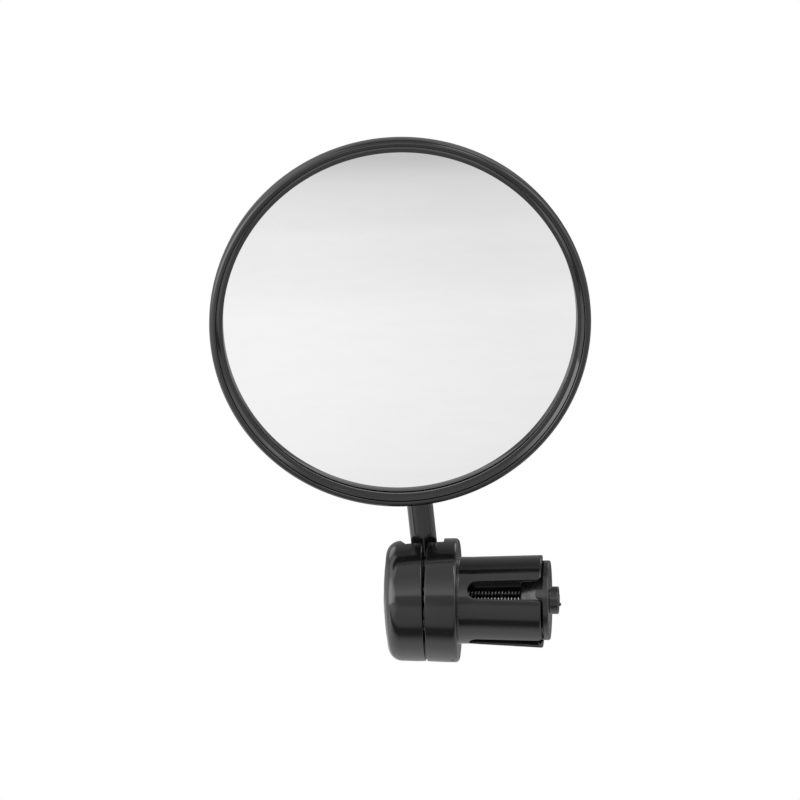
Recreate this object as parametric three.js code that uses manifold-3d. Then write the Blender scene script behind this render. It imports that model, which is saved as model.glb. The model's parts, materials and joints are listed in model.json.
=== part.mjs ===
// Bar-end bicycle mirror: a round convex mirror on a ball-jointed arm, held by
// a split clamp whose plug expands inside the open end of a handlebar.
//
// Units are millimetres. X is the handlebar's axis and points into the bar,
// -Y is the side that the mirror faces and +Z is up. The origin is on the
// bar's axis, in the plane of the stop face that meets the end of the bar.

import * as THREE from 'three';
import { mergeVertices } from 'three/addons/utils/BufferGeometryUtils.js';
import Module from 'manifold-3d';

const wasm = await Module();
wasm.setup();

const DEG = Math.PI / 180;

// ---------------------------------------------------------------- dimensions

// Mirror head. Depths are measured back from the crest of the rim.
const headRadius = 40;
const rimInner = 38.75;
const snapGroove = 0.23;
const plateFront = 4.6;
const plateBack = 5.6;
const lensRadius = 38.4;
const lensCurve = 500;
const lensEdgeDepth = 3.0;
const lensThickness = 1.2;
const bezelInner = 37.2;
const bezelOuter = 38.6;
const bezelBack = 2.6;
const padRadius = 35;
const padGap = 0.2;
const hubRadius = 12;
const hubDepth = 13.8;
const flareRadius = 19;

// Arm and its ball. The arm's axis runs behind the mirror, parallel to it.
const armRadius = 2.725;
const armOffset = 9;
const armReach = 56.2;
const armPast = 6;
const ballRadius = 4.3;
const ballHeight = 6.9;
const ballX = -6.95;
const fit = 0.3;

// How the arm stands in the clamp, and the clamp on the bar's axis, in degrees.
const headYaw = 3.6;
const armLean = 6.35;
const armPitch = 16.5;
const clampRoll = 14.1;
const capTilt = 1.3;

// Clamp: a base that meets the bar's end and a cap, with a screw through both.
const baseFace = -6.7;
const baseRadius = 13;
const baseRadiusAtSlit = 12.8;
const stopEdge = 0.6;
const capFace = -7;
const capLength = 8.5;
const capRadius = 12.74;
const slitRelief = 0.45;
const capCorner = 3;
const capDome = 64;
const windowHalfLength = 6.8;
const windowSwing = 40;
const windowHalfWidth = 4.6;
const windowX = -7.75;
const mouthHalfWidth = 3.85;
const pegRadius = 1.3;
const pegPlace = { y: 6, z: -6.5 };

// Screw: M4 x 35, button head with a hexagon socket.
const screwRadius = 2;
const screwSeat = -13.6;
const screwTip = 21.3;
const headHeight = 2.2;
const headRadiusOfScrew = 3.8;
const socketFlats = 2.5;
const socketDepth = 1.3;
const washerRadius = 4.3;
const washerThickness = 0.7;
const counterboreFloor = -11.7;
const counterboreRadius = 5;

// Plug: four springy fingers round a wedge that the screw pulls in. They stand
// spread by unequal angles, in degrees, as the wedge sits a little low.
const plugRadius = 9.1;
const plugWall = 2;
const plugEnd = 17.5;
const fingerCount = 4;
const fingerRoot = 2.4;
const fingerFlares = [1.7, 2.8, 3.8, 2.5];
const ringEnd = 2.1;
const slotWidth = 3.7;
const wedgeFront = 12.95;
const wedgeSmall = 5.2;
const wedgeLarge = 7.95;
const flangeStart = 17.8;
const flangeEnd = 19;
const flangeRadius = 8.35;
const bossRadius = 2.9;
const bossEnd = 20.8;
const wedgeBore = 2.15;
const ribWidth = 1.9;
const ribStart = 16.3;
const ribTop = 8.35;
const ribTurn = 5;
const nutFlats = 7;
const nutThickness = 3.2;
const nutStart = 14.5;

// Facets round the large discs, the clamp and the small round pieces.
const wide = 48;
const medium = 40;
const small = 24;

// ------------------------------------------------------------------- helpers

// A closed three.js geometry as a manifold-3d solid.
function solid(geometry) {
  const bare = geometry.clone();
  bare.deleteAttribute('normal');
  bare.deleteAttribute('uv');
  const merged = mergeVertices(bare, 1e-5);
  const triangles = [];
  for (let i = 0; i < merged.index.count; i += 3) {
    const [a, b, c] = [0, 1, 2].map((k) => merged.index.getX(i + k));
    if (a !== b && b !== c && c !== a) triangles.push(a, b, c);
  }
  return new wasm.Manifold(new wasm.Mesh({
    numProp: 3,
    vertProperties: new Float32Array(merged.attributes.position.array),
    triVerts: new Uint32Array(triangles),
  }));
}

// A manifold-3d solid as a three.js geometry.
function geometryOf(body) {
  const mesh = body.getMesh();
  const geometry = new THREE.BufferGeometry();
  geometry.setAttribute('position', new THREE.BufferAttribute(mesh.vertProperties, 3));
  geometry.setIndex(new THREE.BufferAttribute(mesh.triVerts, 1));
  geometry.computeVertexNormals();
  return geometry;
}

// Points on an elliptical arc, both ends included. Angles are in degrees.
function arc(cx, cy, rx, ry, from, to, steps) {
  const points = [];
  for (let i = 0; i <= steps; i += 1) {
    const angle = (from + (to - from) * i / steps) * DEG;
    points.push([cx + rx * Math.cos(angle), cy + ry * Math.sin(angle)]);
  }
  return points;
}

// A profile of [radius, height] points turned round the Y axis.
function turned(profile, segments) {
  return new THREE.LatheGeometry(profile.map(([r, h]) => new THREE.Vector2(r, h)), segments);
}

// The same, with the heights along X.
function turnedX(profile, segments) {
  return turned(profile, segments).rotateZ(-90 * DEG);
}

// A round rod along X.
function rod(radius, from, to, segments = small) {
  return turnedX([[0, from], [radius, from], [radius, to], [0, to]], segments);
}

// An outline drawn in [y, z], extruded along X.
function prismX(outline, from, to) {
  const shape = new THREE.Shape(outline.map(([y, z]) => new THREE.Vector2(y, z)));
  const geometry = new THREE.ExtrudeGeometry(shape, { depth: to - from, bevelEnabled: false });
  return geometry.rotateY(90 * DEG).rotateX(90 * DEG).translate(from, 0, 0);
}

// An outline drawn in [x, z], extruded along Y.
function prismY(outline, from, to) {
  const shape = new THREE.Shape(outline.map(([x, z]) => new THREE.Vector2(x, z)));
  const geometry = new THREE.ExtrudeGeometry(shape, { depth: to - from, bevelEnabled: false });
  return geometry.rotateX(90 * DEG).translate(0, to, 0);
}

// A bar along X of a given width with a round end at its start, rising from
// one radius to another along Z.
function roundEndedBar(start, end, width, low, high) {
  const half = width / 2;
  const shape = new THREE.Shape();
  shape.moveTo(end, -half);
  shape.lineTo(end, half);
  shape.lineTo(start + half, half);
  shape.absarc(start + half, 0, half, Math.PI / 2, 3 * Math.PI / 2, false);
  shape.closePath();
  return new THREE.ExtrudeGeometry(shape, { depth: high - low, bevelEnabled: false, curveSegments: 8 })
    .translate(0, 0, low);
}

// A hexagonal prism along X.
function hexagon(flats, from, to) {
  return rod(flats / Math.sqrt(3), from, to, 6);
}

function plastic(color, roughness) {
  return new THREE.MeshStandardMaterial({ color, roughness, metalness: 0 });
}

const finishes = {
  blackGloss: plastic(0x1b1b1d, 0.25),
  blackSatin: plastic(0x202022, 0.35),
  mirror: new THREE.MeshStandardMaterial({ color: 0xf2f4f5, roughness: 0.02, metalness: 1 }),
  foam: plastic(0x55575a, 0.95),
  steel: new THREE.MeshStandardMaterial({ color: 0xc3c5c8, roughness: 0.3, metalness: 1 }),
};

function piece(name, body, finish) {
  const mesh = new THREE.Mesh(geometryOf(body), finish);
  mesh.name = name;
  return mesh;
}

// --------------------------------------------------------------- mirror head

// Height of the reflecting face's sphere over its edge, at radius r.
function lensRise(r) {
  return (lensRadius ** 2 - r ** 2) / (2 * lensCurve);
}

// Points on a dished face that lies at edgeDepth at the lens's edge.
function dishedFace(edgeDepth, radius, steps) {
  const points = [];
  for (let i = 0; i <= steps; i += 1) {
    const r = radius * i / steps;
    points.push([r, edgeDepth - lensRise(r)]);
  }
  return points;
}

function mirrorHousing() {
  const corner = plateBack - 3.6;
  const shell = solid(turned([
    [0, plateFront],
    [rimInner, plateFront],
    [rimInner, 1.9],
    [rimInner + snapGroove, 1.68],
    [rimInner + snapGroove, 1.28],
    [rimInner, 1.06],
    [rimInner, 0.25],
    [rimInner + 0.25, 0],
    ...arc(rimInner + 0.25, 1.1, 1, 1.1, 270, 360, 5).slice(1),
    [headRadius, 1.9],
    ...arc(headRadius - 0.2 - corner, 3.6, corner, corner, 0, 90, 3),
    ...arc(flareRadius, hubDepth - 3, flareRadius - hubRadius, hubDepth - 3 - plateBack, 270, 180, 4),
    ...arc(hubRadius - 1.8, hubDepth - 1.8, 1.8, 1.8, 0, 90, 2),
    [0, hubDepth],
  ], wide));
  const bore = new THREE.CylinderGeometry(armRadius + fit, armRadius + fit, 50, small)
    .rotateX(90 * DEG)
    .translate(0, armOffset, armPast + fit - 25);
  return shell.subtract(solid(bore));
}

function bezelRing() {
  return solid(turned([
    [bezelInner, 1.0],
    [37.95, 0.95],
    [38.5, 0.45],
    [bezelOuter, 0.55],
    [bezelOuter, 1.1],
    [bezelOuter + 0.18, 1.36],
    [bezelOuter + 0.18, 1.6],
    [bezelOuter, 1.78],
    [bezelOuter, bezelBack],
    [bezelInner + 0.1, bezelBack],
    [bezelInner, bezelBack - 0.1],
    [bezelInner, 1.0],
  ], wide));
}

function mirrorLens() {
  const back = dishedFace(lensEdgeDepth + lensThickness, lensRadius, 4).reverse();
  return solid(turned([...dishedFace(lensEdgeDepth, lensRadius, 4), ...back], wide));
}

function lensPad() {
  const front = dishedFace(lensEdgeDepth + lensThickness + padGap, padRadius, 3);
  const back = plateFront - padGap / 2;
  return solid(turned([...front, [padRadius, back], [0, back]], wide));
}

// ----------------------------------------------------------------------- arm

function armBall() {
  return solid(new THREE.SphereGeometry(ballRadius, 24, 12));
}

// A round bar from just outside the ball, with an end that is hollowed to the
// ball's shape, to the blind bore in the housing's hub.
function armStem() {
  const hollow = ballRadius + fit;
  const end = armReach + armPast;
  const foot = [];
  for (let i = 0; i <= 4; i += 1) {
    const r = armRadius * i / 4;
    foot.push([r, Math.sqrt(hollow ** 2 - r ** 2)]);
  }
  const profile = [...foot, [armRadius, end - 0.5], [armRadius - 0.5, end], [0, end]];
  return solid(turned(profile, small).rotateX(90 * DEG));
}

// --------------------------------------------------------------------- clamp

// The cap is pushed open by the ball, so it leans about its lowest edge.
const capLeanAbout = new THREE.Vector3((baseFace + capFace) / 2, 0, -capRadius);

function leaned(geometry) {
  return geometry
    .translate(-capLeanAbout.x, 0, -capLeanAbout.z)
    .rotateY(-capTilt * DEG)
    .translate(capLeanAbout.x, 0, capLeanAbout.z);
}

// The ball's seat and the window that the arm swings in, which narrows to a
// mouth that keeps the ball in.
function jointSpace() {
  const seat = new THREE.SphereGeometry(ballRadius + fit, 24, 12).translate(ballX, 0, ballHeight);
  const top = baseRadius + 1;
  const clear = armRadius + fit;
  const cos = Math.cos(windowSwing * DEG);
  const sin = Math.sin(windowSwing * DEG);
  const low = ballHeight - clear * sin;
  const floor = low + (windowHalfLength - clear * cos) * cos / sin;
  const swing = prismX([
    [clear * cos, low],
    [windowHalfLength, floor],
    [windowHalfLength, top],
    [-windowHalfLength, top],
    [-windowHalfLength, floor],
    [-clear * cos, low],
  ], ballX - mouthHalfWidth, ballX + mouthHalfWidth);
  const funnel = prismY([
    [ballX - mouthHalfWidth, 10],
    [ballX + mouthHalfWidth, 10],
    [windowX + windowHalfWidth, 11.9],
    [windowX + windowHalfWidth, top],
    [windowX - windowHalfWidth, top],
    [windowX - windowHalfWidth, 11.9],
  ], -windowHalfLength, windowHalfLength);
  return solid(seat).add(solid(swing)).add(solid(funnel));
}

// The upper half of each face slopes away, so that the slit widens to the window.
function relief(face, away) {
  const top = baseRadius + 1;
  const wedge = prismY([
    [face, 0],
    [face - away, 0],
    [face - away, top],
    [face + away * slitRelief, top],
  ], -top, top);
  return solid(wedge);
}

function pegs(radius, from, to) {
  const place = (side) => solid(rod(radius, from, to, 12).translate(0, side * pegPlace.y, pegPlace.z));
  return place(1).add(place(-1));
}

function clampCap() {
  const apex = capFace - capLength;
  const flat = capRadius - 0.17 - capCorner;
  const cornerX = apex + flat ** 2 / (2 * capDome) + capCorner;
  const body = turnedX([
    [0, apex],
    [flat / 2, apex + flat ** 2 / (8 * capDome)],
    ...arc(flat, cornerX, capCorner, capCorner, 270, 360, 5),
    [capRadius, capFace - 0.25],
    [capRadius - 0.25, capFace],
    [0, capFace],
  ], medium);
  const counterbore = rod(counterboreRadius, apex - 1, counterboreFloor, small);
  const bore = rod(screwRadius + 0.7, apex - 1, capFace + 1, small);
  return solid(leaned(body))
    .subtract(solid(leaned(counterbore)))
    .subtract(solid(leaned(bore)))
    .subtract(pegs(pegRadius + 0.5, capFace - 3, capFace + 2))
    .subtract(relief(capFace, -1))
    .subtract(jointSpace());
}

function clampBase() {
  const body = turnedX([
    [0, baseFace],
    [baseRadiusAtSlit - 0.25, baseFace],
    [baseRadiusAtSlit, baseFace + 0.25],
    [baseRadius, -stopEdge],
    [baseRadius - stopEdge, 0],
    [plugRadius, 0],
    [plugRadius, ringEnd],
    [0, ringEnd],
  ], medium);
  return solid(body)
    .subtract(solid(rod(plugRadius - plugWall, -1.5, ringEnd + 1, medium)))
    .subtract(solid(rod(screwRadius + 0.4, baseFace - 1, 0)))
    .subtract(relief(baseFace, 1))
    .subtract(jointSpace())
    .add(pegs(pegRadius, baseFace - 2, baseFace + 1));
}

// -------------------------------------------------------------- screw, wedge

function clampScrew() {
  const top = screwSeat - headHeight;
  const body = turnedX([
    [0, top],
    [2.3, top],
    [3.3, top + 0.55],
    [headRadiusOfScrew, top + 1.4],
    [headRadiusOfScrew, screwSeat],
    [screwRadius, screwSeat],
    [screwRadius, screwTip - 0.5],
    [screwRadius - 0.5, screwTip],
    [0, screwTip],
  ], small);
  return solid(body).subtract(solid(hexagon(socketFlats, top - 1, top + socketDepth)));
}

function screwWasher() {
  const left = screwSeat + 0.1;
  return solid(rod(washerRadius, left, left + washerThickness, 32))
    .subtract(solid(rod(screwRadius + 0.15, left - 1, left + 2)));
}

function wedgeNut() {
  return solid(hexagon(nutFlats, nutStart, nutStart + nutThickness))
    .subtract(solid(rod(screwRadius + 0.1, nutStart - 1, nutStart + nutThickness + 1)));
}

function expanderWedge() {
  let body = solid(turnedX([
    [wedgeBore, wedgeFront],
    [wedgeSmall - 0.5, wedgeFront],
    [wedgeSmall, wedgeFront + 0.45],
    [wedgeLarge, flangeStart],
    [flangeRadius, flangeStart],
    [flangeRadius, flangeEnd - 0.3],
    [flangeRadius - 0.3, flangeEnd],
    [bossRadius, flangeEnd],
    [bossRadius, bossEnd - 0.2],
    [bossRadius - 0.2, bossEnd],
    [wedgeBore, bossEnd],
    [wedgeBore, wedgeFront],
  ], medium));
  for (let i = 0; i < fingerCount; i += 1) {
    const rib = roundEndedBar(ribStart, flangeEnd, ribWidth, wedgeSmall, ribTop);
    body = body.add(solid(rib.rotateX((i * 360 / fingerCount) * DEG)));
  }
  const pocket = hexagon(nutFlats + 0.3, nutStart - 0.15, nutStart + nutThickness + 0.15);
  return body.subtract(solid(pocket));
}

// One finger of the plug, centred on +Z, with its root's middle at the origin.
function plugFinger() {
  const inner = plugRadius - plugWall;
  let body = solid(turnedX([
    [inner, fingerRoot],
    [plugRadius, fingerRoot],
    [plugRadius, plugEnd - 0.3],
    [plugRadius - 0.3, plugEnd],
    [inner + 0.4, plugEnd],
    [inner, plugEnd - 3],
    [inner, fingerRoot],
  ], medium));
  const half = 180 / fingerCount;
  for (const side of [-half, half]) {
    const slot = roundEndedBar(ringEnd, plugEnd + 1, slotWidth, 0, plugRadius + 3);
    body = body.subtract(solid(slot.rotateX(side * DEG)));
  }
  const reach = plugRadius + 3;
  const quarter = prismX([[0, 0], [reach, reach], [-reach, reach]], 0, plugEnd + 1);
  return body.intersect(solid(quarter)).translate([-fingerRoot, 0, plugWall / 2 - plugRadius]);
}

// ------------------------------------------------------------------ assembly

const clamp = new THREE.Group();
clamp.rotation.x = -clampRoll * DEG;
clamp.add(piece('clamp_cap', clampCap(), finishes.blackGloss));
clamp.add(piece('plug_base', clampBase(), finishes.blackGloss));
clamp.add(piece('clamp_screw', clampScrew(), finishes.steel));
clamp.add(piece('screw_washer', screwWasher(), finishes.steel));

const wedge = new THREE.Group();
wedge.rotation.x = ribTurn * DEG;
wedge.add(piece('expander_wedge', expanderWedge(), finishes.blackSatin));
wedge.add(piece('wedge_nut', wedgeNut(), finishes.steel));
clamp.add(wedge);

for (let i = 0; i < fingerCount; i += 1) {
  const finger = piece(`plug_finger_${i + 1}`, plugFinger(), finishes.blackGloss);
  finger.position.set(fingerRoot, 0, plugRadius - plugWall / 2);
  finger.rotation.y = -fingerFlares[i] * DEG;
  const turn = new THREE.Group();
  turn.rotation.x = (i + 0.5) * 360 / fingerCount * DEG;
  turn.add(finger);
  clamp.add(turn);
}

// The arm's frame: origin at the ball, Z along the arm, -Y to the mirror.
const arm = new THREE.Group();
arm.position.set(ballX, 0, ballHeight).applyAxisAngle(new THREE.Vector3(1, 0, 0), -clampRoll * DEG);
arm.rotation.set(armPitch * DEG, -armLean * DEG, headYaw * DEG, 'ZYX');
arm.add(piece('arm_ball', armBall(), finishes.blackGloss));
arm.add(piece('arm_stem', armStem(), finishes.blackGloss));

const head = new THREE.Group();
head.position.set(0, -armOffset, armReach);
head.add(piece('mirror_housing', mirrorHousing(), finishes.blackGloss));
head.add(piece('bezel_ring', bezelRing(), finishes.blackGloss));
head.add(piece('mirror_lens', mirrorLens(), finishes.mirror));
head.add(piece('lens_pad', lensPad(), finishes.foam));
arm.add(head);

const barEndMirror = new THREE.Group();
barEndMirror.add(clamp, arm);

export default barEndMirror;
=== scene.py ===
"""A bar-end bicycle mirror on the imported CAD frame: moulded plastic, a convex mirror and one screw."""
import json
import math

import bmesh
import bpy
import numpy as np
from mathutils import Matrix, Vector

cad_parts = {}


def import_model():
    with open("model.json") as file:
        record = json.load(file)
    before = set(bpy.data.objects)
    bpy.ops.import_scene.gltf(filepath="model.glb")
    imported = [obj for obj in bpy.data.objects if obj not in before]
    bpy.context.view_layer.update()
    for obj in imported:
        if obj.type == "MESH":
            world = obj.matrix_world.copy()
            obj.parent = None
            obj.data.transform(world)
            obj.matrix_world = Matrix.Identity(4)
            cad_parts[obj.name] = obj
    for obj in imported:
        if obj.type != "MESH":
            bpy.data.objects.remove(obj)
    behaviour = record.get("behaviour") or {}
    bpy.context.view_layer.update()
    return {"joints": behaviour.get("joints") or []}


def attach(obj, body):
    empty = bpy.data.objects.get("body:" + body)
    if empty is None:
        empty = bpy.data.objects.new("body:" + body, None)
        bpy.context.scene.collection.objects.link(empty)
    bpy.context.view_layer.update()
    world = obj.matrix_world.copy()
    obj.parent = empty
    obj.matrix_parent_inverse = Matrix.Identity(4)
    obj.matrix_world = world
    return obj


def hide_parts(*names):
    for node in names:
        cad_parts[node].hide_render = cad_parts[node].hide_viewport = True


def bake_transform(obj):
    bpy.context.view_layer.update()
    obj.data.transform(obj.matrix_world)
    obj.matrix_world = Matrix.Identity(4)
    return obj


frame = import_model()

MM = 0.001
TURN = 2 * math.pi
SHARP = math.radians(32)

# ------------------------------------------------------------------ the frame

# How the clamp is turned on the bar's axis, and the arm and the cap against the clamp.
CLAMP_ROLL = math.radians(14.1)
HEAD_YAW = math.radians(3.6)
ARM_LEAN = math.radians(6.35)
ARM_PITCH = math.radians(16.5)
CAP_TILT = math.radians(1.3)
WEDGE_TURN = math.radians(5)
FINGER_FLARES = [math.radians(a) for a in (1.7, 2.8, 3.8, 2.5)]

joints = {j["name"]: j for j in frame["joints"]}
ball_centre = Vector(joints["arm_swing"]["pos_m"])

IN_CLAMP = Matrix.Rotation(-CLAMP_ROLL, 4, "X")
IN_ARM = (
    Matrix.Translation(ball_centre)
    @ Matrix.Rotation(HEAD_YAW, 4, "Z")
    @ Matrix.Rotation(-ARM_LEAN, 4, "Y")
    @ Matrix.Rotation(ARM_PITCH, 4, "X")
)

# Lengths are in millimetres from here on, and the placing matrices in metres.
ARM_RADIUS = 2.725
ARM_OFFSET = 9
ARM_REACH = 56.2
ARM_END = 62.2
BALL_RADIUS = 4.3
BALL_IN_CLAMP = Vector((-6.95, 0, 6.9))
IN_HEAD = IN_ARM @ Matrix.Translation(Vector((0, -ARM_OFFSET, ARM_REACH)) * MM)

# The head's own Y axis runs back from the crest of its rim.
HEAD_RADIUS = 40
RIM_INNER = 38.75
PLATE_FRONT = 4.6
PLATE_BACK = 5.6
LENS_RADIUS = 38.4
LENS_CURVE = 500
LENS_EDGE = 3.0
LENS_THICKNESS = 1.2
BEZEL_INNER = 37.2
BEZEL_BACK = 2.6
PAD_RADIUS = 35
HUB_RADIUS = 12
HUB_DEPTH = 13.8
FLARE_RADIUS = 19

# The clamp's own X axis is the bar's, and starts in the plane that meets the bar's end.
BASE_FACE = -6.7
CAP_FACE = -7
CAP_APEX = -15.5
CAP_PIVOT = Vector((-6.85, 0, -12.74))
CAP_RADIUS = 12.74
CAP_CORNER = 3
CAP_DOME = 64
BASE_RADIUS = 13
SLIT_RELIEF = 0.45
WINDOW_X = -7.75
WINDOW_HALF = 4.6
# Long enough for the arm to clear the window's ends with both of the ball's joints at their limits.
WINDOW_LENGTH = 7.05
MOUTH_HALF = 3.85
SCREW_SEAT = -13.6
SCREW_END = 20.95
SCREW_RADIUS = 2.0
THREAD_MINOR = 1.57
THREAD_PITCH = 0.7
NUT_START = 14.5
NUT_END = 17.7
NUT_FLATS = 7
NUT_FIT = 0.3
FLANGE_START = 17.8
FLANGE_END = 19
FLANGE_RADIUS = 8.35
PLUG_RADIUS = 9.1
PLUG_WALL = 2
PLUG_END = 17.5
SLOT_WIDTH = 3.7
SLOT_START = 2.1
FINGERS = 4


# ------------------------------------------------------------------- outlines


def arc(cx, cy, rx, ry, start, end, steps):
    """Points on an elliptical arc, both ends included; angles in degrees."""
    points = []
    for i in range(steps + 1):
        a = math.radians(start + (end - start) * i / steps)
        points.append((cx + rx * math.cos(a), cy + ry * math.sin(a)))
    return points


def rounded(corners, steps=6):
    """An open outline through corners of (x, y) or (x, y, radius), with arcs at those that have a radius."""
    points = []
    for i, corner in enumerate(corners):
        here = Vector(corner[:2])
        radius = corner[2] if len(corner) > 2 else 0
        if radius == 0 or i in (0, len(corners) - 1):
            points.append(tuple(here))
            continue
        back = (Vector(corners[i - 1][:2]) - here).normalized()
        ahead = (Vector(corners[i + 1][:2]) - here).normalized()
        half = back.angle(ahead) / 2
        reach = radius / math.tan(half)
        centre = here + (back + ahead).normalized() * (radius / math.sin(half))
        first = here + back * reach - centre
        last = here + ahead * reach - centre
        sweep = first.angle_signed(last)
        for k in range(steps + 1):
            a = -sweep * k / steps
            spun = Vector((
                first.x * math.cos(a) - first.y * math.sin(a),
                first.x * math.sin(a) + first.y * math.cos(a),
            ))
            points.append(tuple(centre + spun))
    return points


# --------------------------------------------------------------------- meshes


def turned(profile, axis, segments=192, closed=False):
    """Vertices and faces of a profile of (radius, place along the axis) turned round X, Y or Z."""
    verts, faces, rings = [], [], []
    for r, h in profile:
        if r < 1e-6:
            rings.append([len(verts)] * segments)
            verts.append(on_axis(axis, 0, 0, h))
            continue
        ring = []
        for k in range(segments):
            a = TURN * k / segments
            ring.append(len(verts))
            verts.append(on_axis(axis, r * math.cos(a), r * math.sin(a), h))
        rings.append(ring)
    pairs = list(zip(rings, rings[1:]))
    if closed:
        pairs.append((rings[-1], rings[0]))
    for low, high in pairs:
        for k in range(segments):
            n = (k + 1) % segments
            quad = [low[k], low[n], high[n], high[k]]
            face = [v for i, v in enumerate(quad) if v not in quad[:i]]
            if len(face) > 2:
                faces.append(face)
    return verts, faces


def on_axis(axis, a, b, h):
    """A point at h along an axis and at (a, b) across it."""
    if axis == "X":
        return (h, a, b)
    if axis == "Y":
        return (b, h, a)
    return (a, b, h)


def mesh_of(name, shape):
    """A closed mesh with its faces outward."""
    verts, faces = shape
    mesh = bpy.data.meshes.new(name)
    mesh.from_pydata([tuple(v) for v in verts], [], faces)
    mesh.update()
    work = bmesh.new()
    work.from_mesh(mesh)
    bmesh.ops.remove_doubles(work, verts=work.verts, dist=1e-6)
    bmesh.ops.recalc_face_normals(work, faces=work.faces)
    work.to_mesh(mesh)
    work.free()
    return mesh


def solid(name, shape, matrix=None):
    """An object in millimetres, in the frame that matrix gives."""
    made = bpy.data.objects.new(name, mesh_of(name, shape))
    bpy.context.scene.collection.objects.link(made)
    if matrix is not None:
        made.data.transform(matrix)
    return made


def combine(target, tool, operation):
    """Cuts or joins tool into target, and removes tool."""
    modifier = target.modifiers.new(operation, "BOOLEAN")
    modifier.operation = operation
    modifier.solver = "EXACT"
    modifier.object = tool
    bpy.context.view_layer.update()
    graph = bpy.context.evaluated_depsgraph_get()
    result = bpy.data.meshes.new_from_object(target.evaluated_get(graph))
    target.modifiers.remove(modifier)
    old = target.data
    target.data = result
    bpy.data.meshes.remove(old)
    bpy.data.objects.remove(tool)
    return target


def cut(target, tool):
    return combine(target, tool, "DIFFERENCE")


def join(target, tool):
    return combine(target, tool, "UNION")


def prism_shape(outline, axis, low, high):
    """An outline, drawn in the other two axes in their order, extruded along an axis."""
    verts = []
    for h in (low, high):
        for a, b in outline:
            verts.append({"X": (h, a, b), "Y": (a, h, b), "Z": (a, b, h)}[axis])
    n = len(outline)
    faces = [list(range(n)), list(range(n, 2 * n))]
    for i in range(n):
        faces.append([i, (i + 1) % n, n + (i + 1) % n, n + i])
    return verts, faces


def ball_shape(radius, centre=(0, 0, 0), segments=128):
    """Vertices and faces of a sphere."""
    profile = arc(0, 0, radius, radius, -90, 90, segments // 2)
    verts, faces = turned(profile, "Z", segments)
    return [tuple(Vector(v) + Vector(centre)) for v in verts], faces


def hexagon(flats):
    """A hexagon of a width across its flats."""
    r = flats / math.sqrt(3)
    return [(r * math.cos(TURN * k / 6), r * math.sin(TURN * k / 6)) for k in range(6)]


def turn_x(degrees):
    return Matrix.Rotation(math.radians(degrees), 4, "X")


def shade(obj):
    """Smooth shading that breaks at sharp edges."""
    work = bmesh.new()
    work.from_mesh(obj.data)
    for edge in work.edges:
        edge.smooth = not (len(edge.link_faces) == 2 and edge.calc_face_angle(0) > SHARP)
    for face in work.faces:
        face.smooth = True
    work.to_mesh(obj.data)
    work.free()


def place(obj, matrix, material, body=None, nodes=()):
    """Puts a finished solid where it goes, in metres, gives it its material and body, and hides the CAD parts
    it stands in for.
    """
    obj.data.transform(matrix @ Matrix.Scale(MM, 4))
    shade(obj)
    obj.data.materials.clear()
    obj.data.materials.append(material)
    if body:
        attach(obj, body)
    if nodes:
        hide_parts(*nodes)
    return obj


# ------------------------------------------------------------------ materials


class Nodes:
    """A node tree that is built by short calls."""

    def __init__(self, tree):
        self.tree = tree
        tree.nodes.clear()

    def add(self, kind, values=None, **settings):
        node = self.tree.nodes.new(kind)
        for key, value in settings.items():
            setattr(node, key, value)
        for key, value in (values or {}).items():
            self.put(node.inputs[key], value)
        return node

    def put(self, socket, value):
        if isinstance(value, bpy.types.NodeSocket):
            self.tree.links.new(value, socket)
        else:
            socket.default_value = value

    def math(self, operation, a, b=0.0):
        return self.add("ShaderNodeMath", {0: a, 1: b}, operation=operation).outputs[0]

    def span(self, value, low, high, to_low=0.0, to_high=1.0):
        """Value, from low to high, as to_low to to_high with a smooth start and end."""
        ends = {0: value, 1: low, 2: high, 3: to_low, 4: to_high}
        return self.add("ShaderNodeMapRange", ends, interpolation_type="SMOOTHSTEP").outputs[0]

    def mix(self, factor, a, b):
        node = self.add("ShaderNodeMix", data_type="RGBA")
        colours = [socket for socket in node.inputs if socket.type == "RGBA"]
        self.put(node.inputs[0], factor)
        for socket, colour in zip(colours, (a, b)):
            self.put(socket, colour if isinstance(colour, bpy.types.NodeSocket) else (*colour, 1))
        return next(socket for socket in node.outputs if socket.type == "RGBA")

    def ramp(self, factor, stops):
        """A line through stops of (factor, value), at most 32 of them."""
        node = self.add("ShaderNodeValToRGB", {0: factor})
        elements = node.color_ramp.elements
        while len(elements) < len(stops):
            elements.new(1.0)
        for element, (at, value) in zip(elements, stops):
            element.position = at
            element.color = (value, value, value, 1)
        return node.outputs[0]


def new_material(name):
    """A material, its nodes and the place on the piece, in metres, that its patterns follow."""
    material = bpy.data.materials.new(name)
    material.use_nodes = True
    nodes = Nodes(material.node_tree)
    where = nodes.add("ShaderNodeTexCoord").outputs["Object"]
    return material, nodes, where


def noise(nodes, where, scale, detail=3.0, stretch=(1, 1, 1)):
    """A cloudy pattern between 0 and 1."""
    mapped = nodes.add("ShaderNodeMapping", {"Vector": where, "Scale": stretch}).outputs[0]
    pattern = {"Vector": mapped, "Scale": scale, "Detail": detail}
    return nodes.add("ShaderNodeTexNoise", pattern).outputs[0]


def finish_material(nodes, look, height, depth, edge=0.0):
    """A Principled shader on a bump of a depth in metres, with edges rounded to a radius in metres."""
    bump = {"Height": height, "Distance": depth, "Strength": 1.0}
    if edge:
        bump["Normal"] = nodes.add("ShaderNodeBevel", {"Radius": edge}, samples=6).outputs[0]
    look["Normal"] = nodes.add("ShaderNodeBump", bump).outputs[0]
    shader = nodes.add("ShaderNodeBsdfPrincipled", look)
    nodes.add("ShaderNodeOutputMaterial", {"Surface": shader.outputs[0]})


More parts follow.
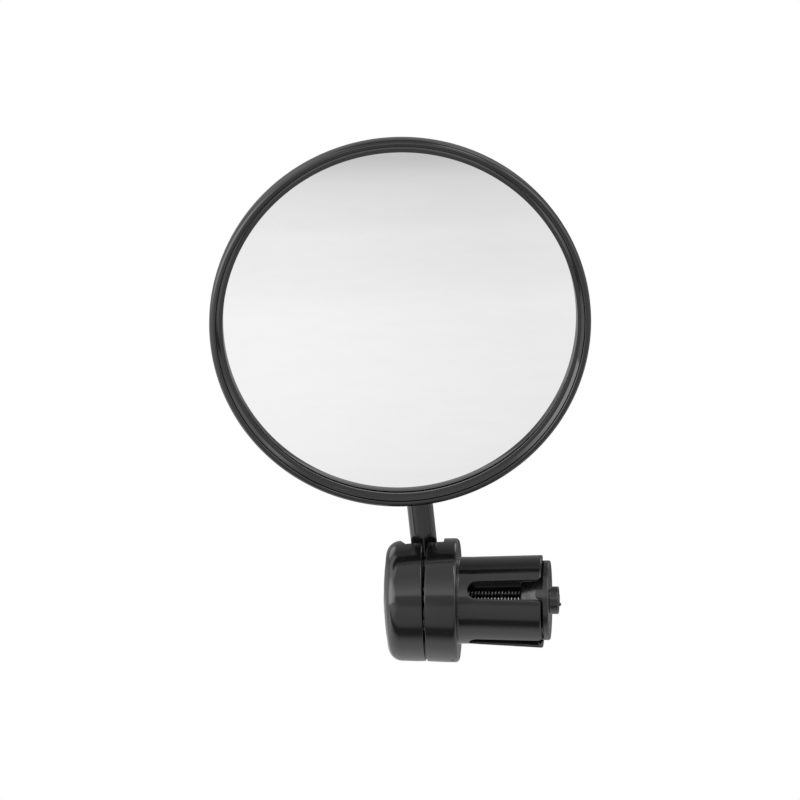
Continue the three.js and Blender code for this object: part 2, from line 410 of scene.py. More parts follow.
def plastic(name, dark, rough, edge=0.0, ripple=1.0):
    """Moulded black plastic: a polished skin with slow ripples, fine grain and a few rubbed patches."""
    material, nodes, where = new_material(name)
    slow = noise(nodes, where, 90, 2)
    fine = noise(nodes, where, 2600, 4)
    rubbed = nodes.span(noise(nodes, where, 420, 5, (0.35, 1, 1)), 0.52, 0.75)
    grain = nodes.span(fine, 0.3, 0.7, rough * 0.85, rough * 1.15)
    roughness = nodes.math("ADD", grain, nodes.math("MULTIPLY", rubbed, rough * 0.6))
    colour = nodes.mix(nodes.span(slow, 0.3, 0.7), dark, [c * 1.25 for c in dark])
    height = nodes.math("ADD", nodes.math("MULTIPLY", slow, ripple), nodes.math("MULTIPLY", fine, 0.05))
    look = {"Base Color": colour, "Roughness": roughness, "IOR": 1.5}
    finish_material(nodes, look, height, 0.02 * MM, edge)
    return material


def silvered_glass():
    """Silvered glass with a faint haze and the wipe marks that a cloth leaves."""
    material, nodes, where = new_material("mirror_glass")
    wipe = noise(nodes, where, 130, 6, (1, 1, 4))
    specks = nodes.span(noise(nodes, where, 3000, 2), 0.74, 0.8)
    haze = nodes.span(wipe, 0.45, 0.8, 0.012, 0.035)
    roughness = nodes.math("ADD", haze, nodes.math("MULTIPLY", specks, 0.03))
    colour = nodes.mix(nodes.span(wipe, 0.3, 0.8), (0.903, 0.903, 0.903), (0.888, 0.888, 0.888))
    look = {"Base Color": colour, "Metallic": 1.0, "Roughness": roughness}
    finish_material(nodes, look, specks, 0.0005 * MM)
    return material


def foam():
    """Closed-cell foam: grey, matt and pitted."""
    material, nodes, where = new_material("foam_pad")
    cells = nodes.add("ShaderNodeTexVoronoi", {"Vector": where, "Scale": 1400}).outputs["Distance"]
    cloudy = noise(nodes, where, 200)
    colour = nodes.mix(nodes.span(cloudy, 0.3, 0.7), (0.08, 0.08, 0.085), (0.11, 0.11, 0.115))
    look = {"Base Color": colour, "Roughness": 0.95, "Specular IOR Level": 0.2}
    finish_material(nodes, look, cells, 0.15 * MM)
    return material


def zinc_steel(name, edge, root_shade_radius=0.0):
    """Bright zinc with turning marks and a cloudy passivate; painted shade darkens it within a radius of the
    screw's axis.
    """
    material, nodes, where = new_material(name)
    turning = noise(nodes, where, 1500, 3, (3, 0.2, 0.2))
    cloudy = noise(nodes, where, 500, 4)
    colour = nodes.mix(nodes.span(cloudy, 0.35, 0.7), (0.8, 0.8, 0.8), (0.66, 0.66, 0.65))
    # Painted shade: inside the radius, where the thread's roots lie, the colour goes near black.
    if root_shade_radius:
        across = nodes.add("ShaderNodeVectorMath", {0: where, 1: (0, 1, 1)}, operation="MULTIPLY")
        radius = nodes.add("ShaderNodeVectorMath", {0: across.outputs[0]}, operation="LENGTH")
        unshaded = nodes.span(radius.outputs["Value"], root_shade_radius, root_shade_radius + 0.1 * MM)
        colour = nodes.mix(unshaded, (0.05, 0.05, 0.05), colour)
    roughness = nodes.span(cloudy, 0.3, 0.7, 0.14, 0.26)
    look = {"Base Color": colour, "Metallic": 1.0, "Roughness": roughness}
    finish_material(nodes, look, turning, 0.006 * MM, edge)
    return material


EDGE = 0.14 * MM
STEEL_EDGE = 0.06 * MM
THREAD_EDGE = 0.03 * MM
# The radius within which the thread's roots get painted shade.
THREAD_ROOT_SHADE = 1.78 * MM
BLACK = (0.004, 0.004, 0.0043)
DULL_BLACK = (0.006, 0.006, 0.0062)
gloss_moulded = plastic("gloss_moulded", BLACK, 0.12)
gloss_cut = plastic("gloss_cut", BLACK, 0.12, EDGE)
gloss_head = plastic("gloss_head", BLACK, 0.14, ripple=0.4)
gloss_trim = plastic("gloss_trim", BLACK, 0.07, ripple=0.2)
satin = plastic("satin_moulded", DULL_BLACK, 0.24, EDGE)
steel = zinc_steel("zinc_steel", STEEL_EDGE)
threaded = zinc_steel("zinc_steel_thread", THREAD_EDGE, THREAD_ROOT_SHADE)

# ---------------------------------------------------------------- mirror head

WIDE = 320


def lens_rise(r):
    """How far the mirror's curve stands over its edge."""
    return (LENS_RADIUS**2 - r**2) / (2 * LENS_CURVE)


def dish(edge_depth, radius, steps):
    """The mirror's curve from its middle out to a radius, at a depth of its edge."""
    return [(r, edge_depth - lens_rise(r)) for r in np.linspace(0, radius, steps + 1)]


def housing_shell():
    """The rim, the plate behind the pad and the hub that holds the arm, in one moulding."""
    root = 0.4
    groove = RIM_INNER + 0.23
    crest = RIM_INNER + 0.25
    crest_depth = 1.1
    skirt_end = 3.6
    corner = PLATE_BACK - skirt_end
    line = PLATE_BACK - 0.12
    flare_end = HUB_DEPTH - 3
    hub_corner = 1.8
    dimple = HUB_DEPTH - 0.25
    outline = [(0, PLATE_FRONT), (RIM_INNER - root, PLATE_FRONT)]
    outline += arc(RIM_INNER - root, PLATE_FRONT - root, root, root, 90, 0, 5)
    outline += [(RIM_INNER, 1.9), (groove, 1.68), (groove, 1.28), (RIM_INNER, 1.06)]
    outline += arc(crest, 0.25, 0.25, 0.25, 180, 270, 6)
    outline += arc(crest, crest_depth, HEAD_RADIUS - crest, crest_depth, 270, 360, 16)[1:]
    outline += [(HEAD_RADIUS, 1.6), (HEAD_RADIUS - 0.04, 2.6)]
    outline += arc(HEAD_RADIUS - 0.2 - corner, skirt_end, corner, corner, 0, 90, 12)
    outline += [(30.2, PLATE_BACK), (30, line), (29.4, line), (29.2, PLATE_BACK)]
    outline += arc(FLARE_RADIUS, flare_end, FLARE_RADIUS - HUB_RADIUS, flare_end - PLATE_BACK, 270, 180, 16)
    outline += arc(HUB_RADIUS - hub_corner, HUB_DEPTH - hub_corner, hub_corner, hub_corner, 0, 90, 10)
    outline += [(2.4, HUB_DEPTH), (2.2, dimple), (0, dimple)]
    shell = solid("housing_shell", turned(outline, "Y", WIDE))
    # The arm's bore, which comes in from below and ends inside the hub.
    bore, bore_start, bore_end = ARM_RADIUS + 0.12, -60, 6.2
    hole_outline = [(0, bore_start), (bore, bore_start), (bore, bore_end), (0, bore_end)]
    hole = solid("hole", turned(hole_outline, "Z", 96))
    hole.data.transform(Matrix.Translation((0, ARM_OFFSET, 0)))
    cut(shell, hole)
    return place(shell, IN_HEAD, gloss_head, "mirror_head", ["mirror_housing"])


def bezel_trim():
    """The ring that keeps the mirror in: a bead that snaps into the rim, a sloping face and a flat lip."""
    outside = RIM_INNER - 0.15
    bead = RIM_INNER + 0.03
    lip_outer, lip_depth = 37.95, 0.97
    undercut = 0.2
    outline = rounded([
        (outside, BEZEL_BACK - 0.3),
        (outside, 1.78),
        (bead, 1.6, 0.05),
        (bead, 1.36, 0.05),
        (outside, 1.1),
        (outside + 0.1, 0.5, 0.08),
        (outside - 0.02, 0.4, 0.06),
        (lip_outer, lip_depth, 0.16),
        (BEZEL_INNER, lip_depth + 0.03, 0.05),
        (BEZEL_INNER + undercut, BEZEL_BACK, 0.08),
        (outside - 0.1, BEZEL_BACK),
    ])
    ring = solid("bezel_trim", turned(outline, "Y", WIDE, closed=True))
    return place(ring, IN_HEAD, gloss_trim, "mirror_head", ["bezel_ring"])


def mirror_glass():
    """The convex mirror, with its edge ground off a little at the front and the back."""
    ground = 0.15
    back_edge = LENS_EDGE + LENS_THICKNESS
    outline = dish(LENS_EDGE, LENS_RADIUS - ground, 32)
    outline += [(LENS_RADIUS, LENS_EDGE + ground), (LENS_RADIUS, back_edge - ground)]
    outline += dish(back_edge, LENS_RADIUS - ground, 24)[::-1]
    glass = solid("mirror_glass", turned(outline, "Y", 256))
    return place(glass, IN_HEAD, silvered_glass(), "mirror_head", ["mirror_lens"])


def foam_backing():
    """The pad between the glass and the plate, which bulges a little at its cut edge."""
    bulge = 0.2
    front = dish(LENS_EDGE + LENS_THICKNESS + 0.12, PAD_RADIUS - bulge, 24)
    back = PLATE_FRONT - 0.03
    edge_front = front[-1][1]
    side = arc(PAD_RADIUS - bulge, (edge_front + back) / 2, bulge, (back - edge_front) / 2, -90, 90, 8)
    pad = solid("foam_backing", turned(front + side + [(0, back)], "Y", 192))
    place(pad, IN_HEAD, foam(), "mirror_head", ["lens_pad"])
    return pad


housing_shell()
bezel_trim()
mirror_glass()
foam_backing()

# ------------------------------------------------------------------------ arm


def arm_rod():
    """The round bar, from inside its ball to inside the hub."""
    start = 2.4
    chamfer, end_chamfer = 0.3, 0.5
    outline = [(0, start), (ARM_RADIUS - chamfer, start), (ARM_RADIUS, start + chamfer)]
    outline += [(ARM_RADIUS, z) for z in (5, 12, 24, 36, 48)]
    outline += [(ARM_RADIUS, ARM_END - end_chamfer), (ARM_RADIUS - end_chamfer, ARM_END), (0, ARM_END)]
    rod = solid("arm_rod", turned(outline, "Z", 96))
    return place(rod, IN_ARM, gloss_moulded, "arm", ["arm_stem"])


def ball_joint():
    """The ball that the clamp holds and the arm grows out of."""
    ball = solid("ball_joint", ball_shape(BALL_RADIUS))
    return place(ball, Matrix.Translation(ball_centre), gloss_moulded, "ball", ["arm_ball"])


arm_rod()
ball_joint()

# ---------------------------------------------------------------------- clamp

ROUND = 256
FIT = 0.3
OUTSIDE = BASE_RADIUS + 1
PEG_RADIUS = 1.3
PEG_HOLE_RADIUS = 1.8
PEG_PLACES = [(-6, -6.5), (6, -6.5)]


def leaned():
    """The cap leans about the lowest edge of the slit."""
    tilt = Matrix.Rotation(-CAP_TILT, 4, "Y")
    return Matrix.Translation(CAP_PIVOT) @ tilt @ Matrix.Translation(-CAP_PIVOT)


def joint_space():
    """The ball's seat and the window that the arm swings in, which widens from its mouth outward."""
    ball_x, _, ball_z = BALL_IN_CLAMP
    clear = ARM_RADIUS + FIT
    swing = math.radians(40)
    low = ball_z - clear * math.sin(swing)
    sill = low + (WINDOW_LENGTH - clear * math.cos(swing)) / math.tan(swing)
    slot = [
        (clear * math.cos(swing), low),
        (WINDOW_LENGTH, sill),
        (WINDOW_LENGTH, OUTSIDE),
        (-WINDOW_LENGTH, OUTSIDE),
        (-WINDOW_LENGTH, sill),
        (-clear * math.cos(swing), low),
    ]
    mouth_height, window_height = 10, 11.9
    funnel = [
        (ball_x - MOUTH_HALF, mouth_height),
        (ball_x + MOUTH_HALF, mouth_height),
        (WINDOW_X + WINDOW_HALF, window_height),
        (WINDOW_X + WINDOW_HALF, OUTSIDE),
        (WINDOW_X - WINDOW_HALF, OUTSIDE),
        (WINDOW_X - WINDOW_HALF, window_height),
    ]
    return [
        ball_shape(BALL_RADIUS + FIT, BALL_IN_CLAMP),
        prism_shape(slot, "X", ball_x - MOUTH_HALF, ball_x + MOUTH_HALF),
        prism_shape(funnel, "Y", -WINDOW_LENGTH, WINDOW_LENGTH),
    ]


def relief(face, away):
    """What the upper half of a face at the slit loses, so that the slit widens to the window."""
    start = 0.02
    outline = [
        (face, start),
        (face - away, start),
        (face - away, OUTSIDE),
        (face + away * SLIT_RELIEF, OUTSIDE),
    ]
    return prism_shape(outline, "Y", -OUTSIDE, OUTSIDE)


def peg(radius, start, end, centre):
    """A cylinder along X, for a peg of the base or its hole in the cap."""
    verts, faces = turned([(0, start), (radius, start), (radius, end), (0, end)], "X", 48)
    return [(x, y + centre[0], z + centre[1]) for x, y, z in verts], faces


def cut_all(target, shapes):
    """Cuts several shapes out of one solid."""
    for shape in shapes:
        cut(target, solid("tool", shape))


def cap_shell():
    """The drum's left half: a domed button with a counterbore for the screw's head."""
    bore = 2.7
    counterbore, counterbore_floor = 5.0, -11.7
    brink = counterbore + 0.12
    edge = 0.25
    flat = CAP_RADIUS - 0.17 - CAP_CORNER

    def dome(r):
        return CAP_APEX + r**2 / (2 * CAP_DOME)

    brink_x = dome(5.3)
    outline = [(bore, CAP_FACE), (bore, counterbore_floor), (counterbore, counterbore_floor)]
    outline += [(counterbore, brink_x + 0.35), (brink, brink_x + 0.08)]
    outline += [(r, dome(r)) for r in np.linspace(5.35, flat - 0.2, 12)]
    outline += arc(flat, dome(flat) + CAP_CORNER, CAP_CORNER, CAP_CORNER, 270, 360, 24)
    outline += [(CAP_RADIUS - 0.02, CAP_FACE - 2), (CAP_RADIUS, CAP_FACE - 0.3)]
    outline += arc(CAP_RADIUS - edge, CAP_FACE - edge, edge, edge, 0, 90, 5)
    cap = solid("cap_shell", turned(outline, "X", ROUND, closed=True), leaned())
    cut_all(cap, [peg(PEG_HOLE_RADIUS, CAP_FACE - 3, CAP_FACE + 2, centre) for centre in PEG_PLACES])
    cut_all(cap, [relief(CAP_FACE, -1)] + joint_space())
    return place(cap, IN_CLAMP, gloss_cut, "cap", ["clamp_cap"])


def gate_mark():
    """The mark that the mould's gate leaves under the stop's edge."""
    height = -BASE_RADIUS
    outline = [(0, height - 0.12), (0.25, height - 0.1), (0.34, height + 0.3), (0, height + 0.3)]
    mark = solid("gate", turned(outline, "Z", 24))
    mark.data.transform(Matrix.Translation((-1.3, 0, 0)))
    return mark


def base_shell():
    """The drum's right half with its stop ring and the plug's root."""
    bore = 2.4
    inner = PLUG_RADIUS - PLUG_WALL
    floor_x = -1.5
    edge = 0.25
    stop_edge, stop_depth = 0.75, 0.8
    fillet = 0.3
    outline = [(bore, BASE_FACE)]
    outline += arc(12.55, BASE_FACE + edge, edge, edge, 270, 360, 5)
    outline += [(BASE_RADIUS - 0.03, -3), (BASE_RADIUS, -1.1)]
    outline += arc(BASE_RADIUS - stop_edge, -0.85, stop_edge, stop_depth, 0, 90, 12)
    outline += [(PLUG_RADIUS + fillet + 0.05, 0)]
    outline += arc(PLUG_RADIUS + fillet, fillet, fillet, fillet, 270, 180, 5)
    outline += [(PLUG_RADIUS, SLOT_START), (inner, SLOT_START), (inner, floor_x), (bore, floor_x)]
    base = solid("base_shell", turned(outline, "X", ROUND, closed=True))
    cut_all(base, [relief(BASE_FACE, 1)] + joint_space())
    for centre in PEG_PLACES:
        join(base, solid("tool", peg(PEG_RADIUS, BASE_FACE - 2, BASE_FACE + 1, centre)))
    join(base, gate_mark())
    place(base, IN_CLAMP, gloss_cut, "clamp_base", ["plug_base"])
    # The ring and the fingers meet in one skin, so the ring's edge isn't rounded there.
    base.data.materials.append(gloss_moulded)
    for face in base.data.polygons:
        if face.center.x > 0.1 * MM:
            face.material_index = 1
    return base


cap_shell()
base_shell()

# ------------------------------------------------------------- screw and wedge


def thread_shape(start, end, segments=48):
    """A left-hand thread as a grid of rings that climb by one pitch a turn, flat at both ends."""
    # One pitch of the thread, as (share of the pitch, share of the depth).
    profile = [(0, 1), (0.07, 1), (0.44, 0), (0.6, 0), (0.97, 1)]
    steps = len(profile)
    spare_turns = 4
    rings = (int((end - start) / THREAD_PITCH) + spare_turns) * steps
    crest = SCREW_RADIUS - 0.03
    end_radius = 1.3

    def point(i, k):
        turn, step = divmod(i, steps)
        phase, height = profile[step]
        x = start + THREAD_PITCH * (turn - spare_turns / 2 + phase + k / segments)
        r = THREAD_MINOR + (crest - THREAD_MINOR) * height
        r = min(r, end_radius + max(end - x, 0), end_radius + max(x - start, 0) * 10)
        a = TURN * k / segments
        return (min(max(x, start), end), r * math.sin(a), r * math.cos(a))

    verts = [point(i, k) for i in range(rings) for k in range(segments)]
    faces = []
    for i in range(rings - 1):
        for k in range(segments):
            # A ring's last point joins the first point of the ring one pitch on.
            wraps = k + 1 == segments
            if wraps and i + 1 + steps >= rings:
                continue
            here, there = i * segments + k, (i + 1) * segments + k
            step = steps * segments - k if wraps else 1
            faces.append([here, here + step, there + step, there])
    return verts, faces


def close_ends(obj):
    """Welds the rings that lie flat on an end, and fills what stays open."""
    work = bmesh.new()
    work.from_mesh(obj.data)
    bmesh.ops.remove_doubles(work, verts=work.verts, dist=1e-5)
    bmesh.ops.holes_fill(work, edges=[e for e in work.edges if e.is_boundary], sides=0)
    bmesh.ops.recalc_face_normals(work, faces=work.faces)
    work.to_mesh(obj.data)
    work.free()


def screw_threaded():
    """The one screw: a button head with a hexagon socket, a thread and a torn tip."""
    top = SCREW_SEAT - 2.2
    crown, crown_height = 2.2, 1.75
    head = 3.8
    under = 0.08
    socket, socket_depth = 2.5, 1.3
    outline = [(0, top), (crown - 0.1, top)]
    outline += arc(crown, top + crown_height, head - crown, crown_height, 270, 360, 14)
    outline += [(head, SCREW_SEAT - under), (head - under, SCREW_SEAT), (0, SCREW_SEAT)]
    screw = solid("screw_threaded", turned(outline, "X", 128))
    cut(screw, solid("tool", prism_shape(hexagon(socket), "X", top - 1, top + socket_depth)))
    shank = solid("tool", thread_shape(SCREW_SEAT - 0.4, SCREW_END))
    close_ends(shank)
    join(screw, shank)
    # The thread's torn end, which stands proud of the cut face.
    burr = ball_shape(0.42, (SCREW_END - 0.05, 0.1, -0.85), 24)
    join(screw, solid("tool", burr))
    place(screw, IN_CLAMP, steel, "screw", ["clamp_screw"])
    screw.data.materials.append(threaded)
    for face in screw.data.polygons:
        if face.center.x > SCREW_SEAT * MM:
            face.material_index = 1
    return screw


def washer():
    """The plain washer under the screw's head."""
    bore, outer, chamfer = 2.15, 4.3, 0.1
    left, right = SCREW_SEAT + 0.1, SCREW_SEAT + 0.8
    outline = [(bore, left), (outer - chamfer, left), (outer, left + chamfer)]
    outline += [(outer, right - chamfer), (outer - chamfer, right), (bore, right)]
    ring = solid("washer", turned(outline, "X", 128, closed=True))
    return place(ring, IN_CLAMP, steel, "screw", ["screw_washer"])


def rib(turn):
    """A round-ended rib that guides the wedge along a slot of the plug."""
    half = 0.95
    start = 16.3
    bottom, top = 5.2, 9
    end = (FLANGE_START + FLANGE_END) / 2
    outline = arc(start + half, 0, half, half, 90, 270, 16) + [(end, -half), (end, half)]
    bar = solid("rib", prism_shape(outline, "Z", bottom, top))
    crown = FLANGE_RADIUS - 0.02
    limit = turned([(0, 15), (crown, 15), (crown, FLANGE_END), (0, FLANGE_END)], "X", ROUND)
    combine(bar, solid("tool", limit), "INTERSECT")
    bar.data.transform(turn_x(turn))
    return bar


def in_wedge():
    """Where the wedge and its nut stand: the screw has turned them a little."""
    return IN_CLAMP @ Matrix.Rotation(WEDGE_TURN, 4, "X")


def wedge_moulded():
    """The wedge: a cone that spreads the fingers, a rib in each slot, a flange and a boss."""
    bore = 2.15
    start, cone, cone_end = 12.95, 5.2, 7.92
    edge = 0.3
    boss, boss_end, boss_edge = 2.9, 20.8, 0.25
    outline = [(bore, start), (4.6, start), (4.9, 13.0), (5.15, 13.25)]
    outline += [(cone, 13.45), (cone_end, FLANGE_START - 0.05), (7.98, FLANGE_START)]
    outline += [(FLANGE_RADIUS - 0.1, FLANGE_START), (FLANGE_RADIUS, FLANGE_START + 0.1)]
    outline += [(FLANGE_RADIUS, FLANGE_END - edge)]
    outline += arc(FLANGE_RADIUS - edge, FLANGE_END - edge, edge, edge, 0, 90, 6)
    outline += [(boss + 0.3, FLANGE_END), (boss + 0.05, FLANGE_END + 0.1), (boss, FLANGE_END + 0.3)]
    outline += arc(boss - boss_edge, boss_end - boss_edge, boss_edge, boss_edge, 0, 90, 5)
    outline += [(bore, boss_end)]
    wedge = solid("wedge_moulded", turned(outline, "X", ROUND, closed=True))
    for i in range(FINGERS):
        join(wedge, rib(i * 360 / FINGERS))
    pocket = prism_shape(hexagon(NUT_FLATS + NUT_FIT), "X", NUT_START - NUT_FIT / 2, NUT_END + NUT_FIT / 2)
    cut(wedge, solid("tool", pocket))
    return place(wedge, in_wedge(), satin, "wedge", ["expander_wedge"])


def nut_hex():
    """The nut that the wedge holds, bevelled at both faces."""
    bore, corner = 2.1, 4.05
    chamfer, chamfer_depth = 0.5, 0.35
    outline = [(bore, NUT_START), (corner - chamfer, NUT_START), (corner, NUT_START + chamfer_depth)]
    outline += [(corner, NUT_END - chamfer_depth), (corner - chamfer, NUT_END), (bore, NUT_END)]
    nut = solid("nut_hex", turned(outline, "X", 128, closed=True))
    flats = prism_shape(hexagon(NUT_FLATS), "X", NUT_START - 1, NUT_END + 1)
    combine(nut, solid("tool", flats), "INTERSECT")
    return place(nut, in_wedge(), steel, "wedge", ["wedge_nut"])


screw_threaded()
washer()
wedge_moulded()
nut_hex()

# --------------------------------------------------------------------- plug

FINGER_ROOT = Vector((2.4, 0, PLUG_RADIUS - PLUG_WALL / 2))
BEND_END = 4.1
LEAD_IN = 3.0
LEAD_DEPTH = 0.4
END_CORNER = 1.0
END_EDGE = 0.35
INNER_EDGE_SHARE = 0.4
SIDE_EDGE = 0.22


def smooth(t):
    """From 0 to 1 with a level start and end."""
    t = min(max(t, 0), 1)
    return t * t * (3 - 2 * t)


def rounding(x, radius):
    """How far a corner of a radius at the plug's end falls away at x."""
    past = max(x - (PLUG_END - radius), 0) / radius
    return radius * (1 - math.sqrt(max(1 - past**2, 0)))


def finger_sections():
    """(x, half width of the slot, outer radius, inner radius, side edge's radius) along a finger."""
    half = SLOT_WIDTH / 2
    bend = SLOT_START + half
    inner = PLUG_RADIUS - PLUG_WALL
    places = [bend - half * math.cos(math.radians(a)) for a in range(0, 91, 9)]
    places += list(np.linspace(bend, PLUG_END - END_CORNER, 18))[1:]
    places += [PLUG_END - END_CORNER * (1 - math.sin(math.radians(a))) for a in range(10, 91, 10)]
    sections = []
    for x in places:
        slot = math.sqrt(max(half**2 - max(bend - x, 0) ** 2, 0)) + rounding(x, END_CORNER)
        edge = SIDE_EDGE * min(slot / half, 1)
        drop = rounding(x, END_EDGE)
        thinned = LEAD_DEPTH * min(max(x - (PLUG_END - LEAD_IN), 0) / LEAD_IN, 1)
        thinned += INNER_EDGE_SHARE * drop
        sections.append((x, slot, PLUG_RADIUS - drop, inner + thinned, edge))
    return sections


def finger_ring(x, slot, outer, inner, edge, steps=28):
    """One closed cross-section of a finger that is centred on +Z, with rounded corners."""
    def side(r):
        return math.pi / FINGERS - math.asin(min(slot / r, 1))

    chamfer = 0.1
    top_end = side(outer) - edge / outer
    floor_end = side(inner) - chamfer / inner
    corner = arc(top_end, outer - edge, edge / outer, edge, 90, 0, 4)[1:]
    corner += [(side(inner + chamfer), inner + chamfer), (floor_end, inner)]
    across = np.linspace(-1, 1, steps + 1)
    points = [(t * top_end, outer) for t in across]
    points += corner
    points += [(-t * floor_end, inner) for t in across[1:-1]]
    points += [(-a, r) for a, r in reversed(corner)]
    return [Vector((x, r * math.sin(a), r * math.cos(a))) for a, r in points]


def flared(point, flare):
    """The finger's bend at its root, where it leaves the ring."""
    angle = flare * smooth((point.x - SLOT_START) / (BEND_END - SLOT_START))
    return FINGER_ROOT + Matrix.Rotation(-angle, 3, "Y") @ (point - FINGER_ROOT)


def finger_shape(flare):
    """Vertices and faces of a finger: its cross-sections, joined up and closed at both ends."""
    rings = [[flared(v, flare) for v in finger_ring(*section)] for section in finger_sections()]
    count = len(rings[0])
    verts = [v for ring in rings for v in ring]
    faces = [list(range(count)), list(range(len(verts) - count, len(verts)))]
    for i in range(len(rings) - 1):
        for k in range(count):
            n = (k + 1) % count
            faces.append([i * count + k, i * count + n, (i + 1) * count + n, (i + 1) * count + k])
    return verts, faces


def plug_finger(i):
    """A finger, built bent out of the ring at its root by a fixed flare, as the wedge spreads it."""
    finger = solid(f"finger_{i + 1}_skin", finger_shape(FINGER_FLARES[i]))
    matrix = IN_CLAMP @ turn_x((i + 0.5) * 360 / FINGERS)
    place(finger, matrix, gloss_moulded, None, [f"plug_finger_{i + 1}"])
    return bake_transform(finger)


for index in range(FINGERS):
    plug_finger(index)

# --------------------------------------------------------------------- studio

VIEW_AZIMUTH = math.radians(3.3)
VIEW_WIDTH = 0.1674
VIEW_SIDE = -0.01247
VIEW_HEIGHT = 0.0419
VIEW_DISTANCE = 1.4
FLOOR = -0.057
FLOOR_GAP = 0.0005
FLOOR_SIZE = 1.2
TABLE_SIZE = 1.4


def camera():
    """The photo's view: level, without perspective and from a little to the right of the front."""
    across = Vector((math.cos(VIEW_AZIMUTH), math.sin(VIEW_AZIMUTH), 0))
    towards = Vector((math.sin(VIEW_AZIMUTH), -math.cos(VIEW_AZIMUTH), 0))
    target = across * VIEW_SIDE + Vector((0, 0, VIEW_HEIGHT))
    made = bpy.data.objects.new("camera", bpy.data.cameras.new("camera"))
    made.data.type = "ORTHO"
    made.data.ortho_scale = VIEW_WIDTH
    made.location = target + towards * VIEW_DISTANCE
    made.rotation_euler = (-towards).to_track_quat("-Z", "Y").to_euler()
    bpy.context.scene.collection.objects.link(made)
    bpy.context.scene.camera = made


# Brightness of the studio by height over the horizon: 0 is in front, 90 overhead and 180 behind.
SKY = [
    (-180, 0.5), (-90, 0.9), (-11, 0.9), (-8, 0.7), (8, 0.7), (10, 1.9), (16, 2.0), (23, 1.6),
    (30, 1.35), (38, 1.15), (50, 0.97), (62, 1.0), (76, 1.0), (86, 0.75), (94, 0.35), (105, 0.25),
    (120, 0.35), (180, 0.35),
]
SKY_TOP = 2.5

# Its brightness at the sides, and how far sideways a direction points where that starts and is full.
SIDE_LEVEL = 1.0
SIDE_START = 0.6
SIDE_FULL = 0.95

# Softboxes: direction, brightness, and the angles within which it is full and beyond which it is none.
SOFTBOXES = [
    ((-0.88, -0.45, 0.0), 2.2, 18, 36),
    ((-0.97, -0.2, 0.05), 1.5, 16, 30),
    ((0.45, -0.42, 0.78), 4.0, 6, 12),
    ((0.8, -0.25, 0.5), 2.0, 7, 14),
    ((-0.65, -0.1, 0.75), 1.2, 15, 32),
    ((0.9, -0.1, 0.42), 0.9, 15, 30),
    ((-0.84, 0.53, 0.1), 0.3, 10, 21),
    ((0.35, 0.55, 0.75), 1.6, 9, 17),
    ((-0.5, 0.6, 0.62), 1.2, 8, 16),
    ((0.06, 1.0, 0.0), -0.27, 8, 18),
]


def softbox(nodes, direction, towards, level, full, none):
    """What a round softbox adds to the studio's brightness in a direction."""
    aim = {0: direction, 1: Vector(towards).normalized()}
    turned_by = nodes.add("ShaderNodeVectorMath", aim, operation="DOT_PRODUCT").outputs["Value"]
    return nodes.span(turned_by, math.cos(math.radians(none)), math.cos(math.radians(full)), 0.0, level)


def world():
    """The studio that lights the object and stands in its reflections; the camera sees plain white."""
    made = bpy.data.worlds.new("studio")
    bpy.context.scene.world = made
    made.use_nodes = True
    nodes = Nodes(made.node_tree)
    direction = nodes.add("ShaderNodeTexCoord").outputs["Generated"]
    axes = nodes.add("ShaderNodeSeparateXYZ", {0: direction}).outputs
    height = nodes.math("ARCTAN2", axes[2], nodes.math("MULTIPLY", axes[1], -1.0))
    share = nodes.add("ShaderNodeMapRange", {0: height, 1: -math.pi, 2: math.pi}).outputs[0]
    sky = nodes.ramp(share, [((a + 180) / 360, level / SKY_TOP) for a, level in SKY])
    to_side = nodes.span(nodes.math("ABSOLUTE", axes[0]), SIDE_START, SIDE_FULL)
    levels = {0: to_side, 2: nodes.math("MULTIPLY", sky, SKY_TOP), 3: SIDE_LEVEL}
    level = nodes.add("ShaderNodeMix", levels).outputs[0]
    for box in SOFTBOXES:
        level = nodes.math("ADD", level, softbox(nodes, direction, *box))
    seen = nodes.add("ShaderNodeLightPath").outputs["Is Camera Ray"]
    shown = nodes.add("ShaderNodeMix", {0: seen, 2: level, 3: 1.0}).outputs[0]
    background = nodes.add("ShaderNodeBackground", {"Color": (1, 1, 1, 1), "Strength": shown})
    nodes.add("ShaderNodeOutputWorld", {"Surface": background.outputs[0]})


# Brightness of the table that the object reflects, by its place along Y and along X in millimetres.
TABLE = [
    (-450, 0.55), (-353, 0.62), (-336, 0.73), (-322, 0.8), (-303, 0.84), (-285, 0.86), (-272, 0.905),
    (-250, 0.907), (-227, 0.93), (-207, 0.97), (-160, 0.97), (-125, 0.945), (-68, 0.85), (-60, 0.8),
    (-55, 0.7), (-49, 0.38), (-46, 0.15), (-29, 0.15), (-22, 0.7), (-17, 1.0), (-12, 1.2), (20, 1.2),
    (27, 1.05), (40, 0.94), (56, 0.8), (81, 0.66), (150, 0.6),
]
TABLE_TOP = 1.25
TABLE_ACROSS = [(-300, 1.8), (-140, 1.7), (-60, 1.03), (-30, 1.03), (60, 0.945), (120, 0.95), (300, 1.1)]
ACROSS_TOP = 1.8


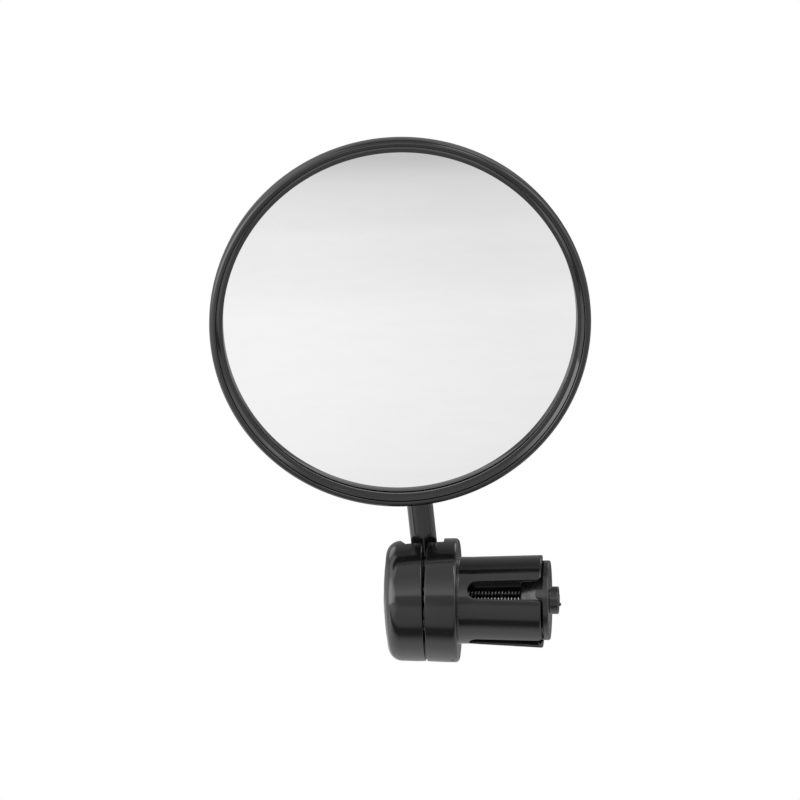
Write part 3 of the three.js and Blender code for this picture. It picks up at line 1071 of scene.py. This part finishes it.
def plane(name, size, z):
    """A level square that belongs to the studio."""
    half = size / 2
    mesh = bpy.data.meshes.new(name)
    corners = [(-half, -half, z), (half, -half, z), (half, half, z), (-half, half, z)]
    mesh.from_pydata(corners, [], [(0, 1, 2, 3)])
    made = bpy.data.objects.new(name, mesh)
    bpy.context.scene.collection.objects.link(made)
    return made


def along(nodes, distance, stops, top):
    """A ramp over a distance through stops of (millimetres, level), of which top is the highest level."""
    low, high = stops[0][0], stops[-1][0]
    share = nodes.add("ShaderNodeMapRange", {0: distance, 1: low * MM, 2: high * MM}).outputs[0]
    return nodes.ramp(share, [((stop - low) / (high - low), level / top) for stop, level in stops])


def reflected_table():
    """What the object reflects of the studio below it. The camera and the floor's shading don't see it."""
    table = plane("table_card", TABLE_SIZE, FLOOR)
    material, nodes, where = new_material("table_card")
    axes = nodes.add("ShaderNodeSeparateXYZ", {0: where}).outputs
    depth = along(nodes, axes[1], TABLE, TABLE_TOP)
    across = along(nodes, axes[0], TABLE_ACROSS, ACROSS_TOP)
    level = nodes.math("MULTIPLY", nodes.math("MULTIPLY", depth, across), TABLE_TOP * ACROSS_TOP)
    shine = nodes.add("ShaderNodeEmission", {"Color": (1, 1, 1, 1), "Strength": level})
    nodes.add("ShaderNodeOutputMaterial", {"Surface": shine.outputs[0]})
    table.data.materials.append(material)
    table.visible_camera = False
    table.visible_diffuse = False
    table.visible_shadow = False


def floor():
    """A pale matt floor that fades into the white background."""
    ground = plane("floor", FLOOR_SIZE, FLOOR - FLOOR_GAP)
    material, nodes, where = new_material("floor")
    away = nodes.add("ShaderNodeVectorMath", {0: where}, operation="LENGTH").outputs["Value"]
    shown = nodes.span(away, 0.16, 0.5, 1.0, 0.0)
    grain = nodes.span(noise(nodes, where, 30, 4), 0.3, 0.7, 0.9, 0.93)
    paint = nodes.add("ShaderNodeBsdfDiffuse", {"Color": grain})
    clear = nodes.add("ShaderNodeBsdfTransparent")
    surface = nodes.add("ShaderNodeMixShader", {0: shown, 1: clear.outputs[0], 2: paint.outputs[0]})
    nodes.add("ShaderNodeOutputMaterial", {"Surface": surface.outputs[0]})
    ground.data.materials.append(material)
    ground.visible_glossy = False


camera()
world()
reflected_table()
floor()
bpy.context.scene.view_settings.view_transform = "Standard"
